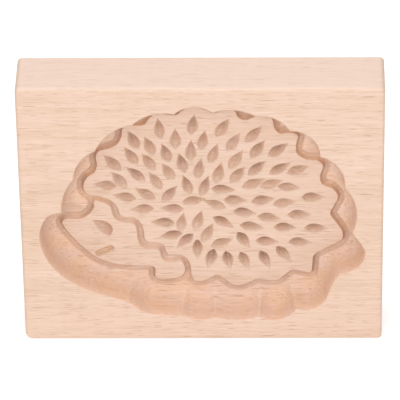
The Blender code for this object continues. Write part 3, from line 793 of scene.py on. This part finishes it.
# ---------------------------------------------------------------- beech
PALE = (0.725, 0.53, 0.421, 1.0)
RING = (0.655, 0.458, 0.335, 1.0)
STREAK = (0.56, 0.36, 0.24, 1.0)
FLECK = (0.43, 0.255, 0.155, 1.0)
EDGE_AND_SHEEN = (0.745, 0.572, 0.487, 1.0)
END_TONE_AND_SHADE = (0.36, 0.215, 0.14, 1.0)
WARM = (0.82, 0.51, 0.335, 1.0)
ROSY = (0.80, 0.545, 0.435, 1.0)
PINK = (0.735, 0.525, 0.44, 1.0)
BROWN = (0.49, 0.30, 0.22, 1.0)
ORANGE = (0.57, 0.34, 0.19, 1.0)
# LIGHT serves the light grain streaks and the painted highlight on the ridge crests
LIGHT = (0.775, 0.60, 0.495, 1.0)
GLOSS = 0.3
BUMP_STRENGTH = 0.35
BUMP_HEIGHT = 0.05


class Shading:
    """One material, and short ways to add nodes to it."""

    def __init__(self, name):
        self.material = bpy.data.materials.new(name)
        self.material.use_nodes = True
        self.nodes = self.material.node_tree.nodes
        self.links = self.material.node_tree.links
        self.shader = self.nodes["Principled BSDF"]

    def join(self, value, socket):
        """Link another node's output to a socket, or set the socket to a number or colour."""
        if isinstance(value, bpy.types.NodeSocket):
            self.links.new(value, socket)
        else:
            socket.default_value = value

    def calc(self, operation, a, b):
        """The result of a sum on two values."""
        node = self.nodes.new("ShaderNodeMath")
        node.operation = operation
        self.join(a, node.inputs[0])
        self.join(b, node.inputs[1])
        return node.outputs[0]

    def times(self, a, b):
        """One value times another."""
        return self.calc("MULTIPLY", a, b)

    def stretched(self, size, source, shift=(0, 0, 0)):
        """Coordinates in which a feature of this size in millimetres is one unit."""
        node = self.nodes.new("ShaderNodeMapping")
        node.inputs["Location"].default_value = shift
        node.inputs["Scale"].default_value = [1 / (c * MM) for c in size]
        self.links.new(source, node.inputs["Vector"])
        return node.outputs[0]

    def noise(self, vector, detail=2.0, roughness=0.5, output="Fac"):
        """Soft random pattern whose features are about one unit across."""
        node = self.nodes.new("ShaderNodeTexNoise")
        node.inputs["Scale"].default_value = 1.0
        node.inputs["Detail"].default_value = detail
        node.inputs["Roughness"].default_value = roughness
        self.links.new(vector, node.inputs["Vector"])
        return node.outputs[output]

    def ramp(self, value, low, high, start=0.0, end=1.0):
        """Smooth change from start to end as value goes from low to high."""
        node = self.nodes.new("ShaderNodeMapRange")
        node.interpolation_type = "SMOOTHSTEP"
        for name, number in zip(("From Min", "From Max", "To Min", "To Max"), (low, high, start, end)):
            node.inputs[name].default_value = number
        self.links.new(value, node.inputs["Value"])
        return node.outputs[0]

    def tint(self, colour, other, share):
        """Colour moved towards another one by a varying share."""
        node = self.nodes.new("ShaderNodeMix")
        node.data_type = "RGBA"
        self.links.new(share, node.inputs[0])
        self.join(colour, node.inputs[6])
        self.join(other, node.inputs[7])
        return node.outputs[2]

    def painted(self, name):
        """A share that the mesh carries at each of its points."""
        node = self.nodes.new("ShaderNodeAttribute")
        node.attribute_name = name
        return node.outputs["Fac"]


def wandering_grain(wood, place):
    """Coordinates along the grain, which wanders a little up and down along the block."""
    wander = wood.nodes.new("ShaderNodeVectorMath")
    wander.operation = "MULTIPLY_ADD"
    drift = wood.noise(wood.stretched((55, 30, 30), place), 1.0, output="Color")
    wood.links.new(drift, wander.inputs[0])
    wander.inputs[1].default_value = (0, 1.6 * MM, 2.6 * MM)
    wood.links.new(place, wander.inputs[2])
    return wander.outputs[0]


def growth_rings(wood, grain):
    """Share of the darker late wood in rings round an axis behind the block."""
    spread = wood.nodes.new("ShaderNodeVectorMath")
    spread.operation = "LENGTH"
    wood.links.new(wood.stretched((60, 2.1, 2.1), grain, (0, -33, -20)), spread.inputs[0])
    rings = wood.nodes.new("ShaderNodeTexNoise")
    rings.noise_dimensions = "1D"
    rings.inputs["Scale"].default_value = 1.0
    rings.inputs["Detail"].default_value = 1.5
    wood.links.new(spread.outputs["Value"], rings.inputs["W"])
    return wood.ramp(rings.outputs["Fac"], 0.45, 0.68)


def flecks(wood, size, grain, shift, thin, thick):
    """Thin ray sheets, each with its own size; some cells have none."""
    node = wood.nodes.new("ShaderNodeTexVoronoi")
    node.inputs["Scale"].default_value = 1.0
    wood.links.new(wood.stretched(size, grain, shift), node.inputs["Vector"])
    split = wood.nodes.new("ShaderNodeSeparateColor")
    wood.links.new(node.outputs["Color"], split.inputs[0])
    reach = wood.ramp(split.outputs[0], 0.25, 1.0, 0.02, thick)
    inside = wood.calc("SUBTRACT", reach, node.outputs["Distance"])
    strength = wood.ramp(split.outputs[1], 0.0, 1.0, 0.45, 1.0)
    return wood.times(wood.ramp(inside, 0.0, thin), strength)


def plain_colour(wood, grain, place, fibres, fine_fibres):
    """Colour of the flat-sawn face, without its flecks."""
    broad = wood.noise(wood.stretched((90, 14, 9), grain))
    blush = wood.noise(wood.stretched((16, 9, 5), place, (5, 2, 7)))
    colour = wood.tint(PALE, RING, wood.ramp(growth_rings(wood, grain), 0.0, 1.0, 0.0, 0.5))
    colour = wood.tint(colour, RING, wood.ramp(broad, 0.35, 0.75, 0.0, 0.45))
    colour = wood.tint(colour, PINK, wood.ramp(blush, 0.4, 0.7, 0.0, 0.5))
    colour = wood.tint(colour, RING, wood.ramp(fibres, 0.3, 0.8, 0.0, 0.55))
    return wood.tint(colour, FLECK, wood.ramp(fine_fibres, 0.5, 0.9, 0.0, 0.2))


def cut_colour(wood, colour, place):
    """The colour where the block's edges and the carving cut across the grain, with painted sheen,
    highlights and shade.
    """
    edge, end, steep_and_lit_slopes = wood.painted("edge_grain_and_sheen"), wood.painted("end_grain_and_shade"), wood.painted("steep_and_lit_slopes")
    # paler edge-grain tone with painted sheen on the top and bottom faces
    colour = wood.tint(colour, EDGE_AND_SHEEN, wood.ramp(edge, 0.2, 1.0, 0.0, 0.8))
    # painted shade along the rounded arris, to dim its highlight
    arris_shade = wood.times(edge, wood.calc("SUBTRACT", 1.0, edge))
    colour = wood.tint(colour, RING, wood.times(arris_shade, 1.5))

    patches = wood.noise(wood.stretched((11, 9, 6), place, (3, 1, 2)))
    # warm tint on steep cut walls and in the trough: the cut wood's warmer tone and painted warm shade
    # and bounce light in the hollow
    slope = wood.tint(WARM, ROSY, wood.ramp(patches, 0.4, 0.6))
    sloping = wood.times(wood.ramp(steep_and_lit_slopes, 0.0, 0.3), 0.5)
    sloping = wood.calc("MAXIMUM", sloping, wood.times(wood.painted("trough"), 0.5))
    colour = wood.tint(colour, slope, wood.times(sloping, wood.ramp(edge, 0.0, 0.3, 1.0, 0.0)))
    # dark end-grain tone, with painted shade under the upper rim and in the groove
    colour = wood.tint(colour, END_TONE_AND_SHADE, wood.times(end, wood.ramp(patches, 0.35, 0.65, 0.62, 0.88)))
    # painted shade under the rim's lip, deep in the quill cuts, in the eye and in the mouth; painted
    # warm shade on upward-facing surfaces; painted highlight on the ridge crests
    for name, other, share in (
        ("lip_shade", END_TONE_AND_SHADE, 0.55), ("deep", END_TONE_AND_SHADE, 0.6), ("eye", BROWN, 0.6), ("mouth", ORANGE, 0.65),
        ("upward_warm_shade", ORANGE, 0.4), ("crest", LIGHT, 0.4),
    ):
        colour = wood.tint(colour, other, wood.times(wood.painted(name), share))
    return colour


def beech():
    """Pale steamed beech: grain along X, growth rings and dark ray flecks."""
    wood = Shading("beech")
    place = wood.nodes.new("ShaderNodeTexCoord").outputs["Object"]
    grain = wandering_grain(wood, place)
    fibres = wood.noise(wood.stretched((11, 0.45, 0.3), grain), 3, 0.6)
    fine_fibres = wood.noise(wood.stretched((3.0, 0.12, 0.1), grain), 2, 0.6)
    streaks = wood.noise(wood.stretched((9.0, 0.8, 0.5), grain), 3, 0.62)
    long_flecks = flecks(wood, (11.0, 0.62, 0.62), grain, (0, 0, 0), 0.07, 0.26)
    short_flecks = flecks(wood, (5.0, 0.44, 0.44), grain, (7, 3, 5), 0.09, 0.36)

    # streaks and flecks are weaker on the block's edges and on steep walls
    steep_and_lit_slopes = wood.painted("steep_and_lit_slopes")
    edges = wood.ramp(wood.painted("edge_grain_and_sheen"), 0.0, 1.0, 1.0, 0.45)
    level = wood.times(edges, wood.ramp(steep_and_lit_slopes, 0.3, 0.8, 1.0, 0.45))
    torn = wood.calc("ADD", wood.times(wood.painted("trough"), 0.7), 1.0)
    strength = wood.times(level, wood.ramp(steep_and_lit_slopes, 0.04, 0.3, 1.0, 0.15))

    colour = plain_colour(wood, grain, place, fibres, fine_fibres)
    colour = cut_colour(wood, colour, place)
    colour = wood.tint(colour, LIGHT, wood.ramp(streaks, 0.47, 0.3, 0.0, 0.55))
    dark_streaks = wood.times(wood.ramp(streaks, 0.53, 0.7, 0.0, 0.6), wood.times(level, torn))
    colour = wood.tint(colour, STREAK, dark_streaks)
    colour = wood.tint(colour, FLECK, wood.times(long_flecks, wood.times(strength, 0.75)))
    colour = wood.tint(colour, FLECK, wood.times(short_flecks, wood.times(strength, 0.6)))
    wood.links.new(colour, wood.shader.inputs["Base Color"])
    wood.links.new(wood.ramp(fibres, 0.2, 0.8, 0.52, 0.68), wood.shader.inputs["Roughness"])
    wood.shader.inputs["Specular IOR Level"].default_value = GLOSS

    bump = wood.nodes.new("ShaderNodeBump")
    bump.inputs["Strength"].default_value = BUMP_STRENGTH
    bump.inputs["Distance"].default_value = BUMP_HEIGHT * MM
    raised = wood.calc("SUBTRACT", wood.calc("ADD", fibres, fine_fibres), long_flecks)
    wood.links.new(raised, bump.inputs["Height"])
    wood.links.new(bump.outputs[0], wood.shader.inputs["Normal"])
    return wood.material


block = build_block()
bpy.context.scene.collection.objects.link(block)
block.data.materials.append(beech())
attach(block, "root")
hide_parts("mold_block")

# ---------------------------------------------------------------- floor, light, camera; in metres
WHITE = (1.0, 1.0, 1.0, 1.0)
FLOOR_GREY = (0.8, 0.8, 0.8, 1.0)
FLOOR_REACH = 6.0
FLOOR_GLOW = 0.3
FLOOR_ROUGHNESS = 0.9
ROOM_LIGHT = 0.66
LIGHTS = (
    ("key", (1.1, 0.8), (-0.08, -1.35, 1.02), 10.7),
    ("top", (1.6, 0.8), (0.0, -0.08, 1.5), 9.0),
)
MIDDLE = Vector((0, 0, HEIGHT * MM / 2))
ELEVATION = 34.248
AZIMUTH = 1.415
ROLL = -0.911
DISTANCE = 1.3208
SENSOR_WIDTH = 36.0
LENS = 357.7
SHIFT_ACROSS = 0.000697
SHIFT_UP = 0.000065


def floor():
    """A wide pale floor."""
    mesh = bpy.data.meshes.new("floor")
    signs = ((-1, -1), (1, -1), (1, 1), (-1, 1))
    corners = [(x * FLOOR_REACH, y * FLOOR_REACH, 0) for x, y in signs]
    mesh.from_pydata(corners, [], [(0, 1, 2, 3)])
    obj = bpy.data.objects.new("floor", mesh)
    bpy.context.scene.collection.objects.link(obj)
    material = bpy.data.materials.new("floor")
    material.use_nodes = True
    shader = material.node_tree.nodes["Principled BSDF"]
    shader.inputs["Base Color"].default_value = FLOOR_GREY
    shader.inputs["Emission Color"].default_value = WHITE
    shader.inputs["Emission Strength"].default_value = FLOOR_GLOW
    shader.inputs["Roughness"].default_value = FLOOR_ROUGHNESS
    mesh.materials.append(material)
    return obj


def area_light(name, size, place, power):
    """A soft rectangular light that shines on the middle of the block."""
    light = bpy.data.lights.new(name, "AREA")
    light.shape = "RECTANGLE"
    light.size, light.size_y = size
    light.energy = power
    obj = bpy.data.objects.new(name, light)
    obj.location = place
    obj.rotation_mode = "QUATERNION"
    obj.rotation_quaternion = (MIDDLE - Vector(place)).to_track_quat("-Z", "Y")
    bpy.context.scene.collection.objects.link(obj)


def room():
    """Plain white light from all round."""
    world = bpy.data.worlds.new("studio")
    world.use_nodes = True
    background = world.node_tree.nodes["Background"]
    background.inputs["Color"].default_value = WHITE
    background.inputs["Strength"].default_value = ROOM_LIGHT
    bpy.context.scene.world = world


def camera():
    """The camera looks at the middle of the block from above, a little to its right."""
    a, e, r = math.radians(AZIMUTH), math.radians(ELEVATION), math.radians(ROLL)
    back = Vector((math.sin(a) * math.cos(e), -math.cos(a) * math.cos(e), math.sin(e)))
    right = (-back).cross(Vector((0, 0, 1))).normalized()
    up = back.cross(right)
    turned_right = right * math.cos(r) + up * math.sin(r)
    turned_up = up * math.cos(r) - right * math.sin(r)
    data = bpy.data.cameras.new("camera")
    data.sensor_width = SENSOR_WIDTH
    data.lens = LENS
    obj = bpy.data.objects.new("camera", data)
    axes = Matrix((turned_right, turned_up, back)).transposed().to_4x4()
    place = MIDDLE + back * DISTANCE
    place -= turned_right * SHIFT_ACROSS + turned_up * SHIFT_UP
    obj.matrix_world = Matrix.Translation(place) @ axes
    bpy.context.scene.collection.objects.link(obj)
    bpy.context.scene.camera = obj


floor()
for light_values in LIGHTS:
    area_light(*light_values)
room()
bpy.context.scene.view_settings.view_transform = "Standard"
camera()
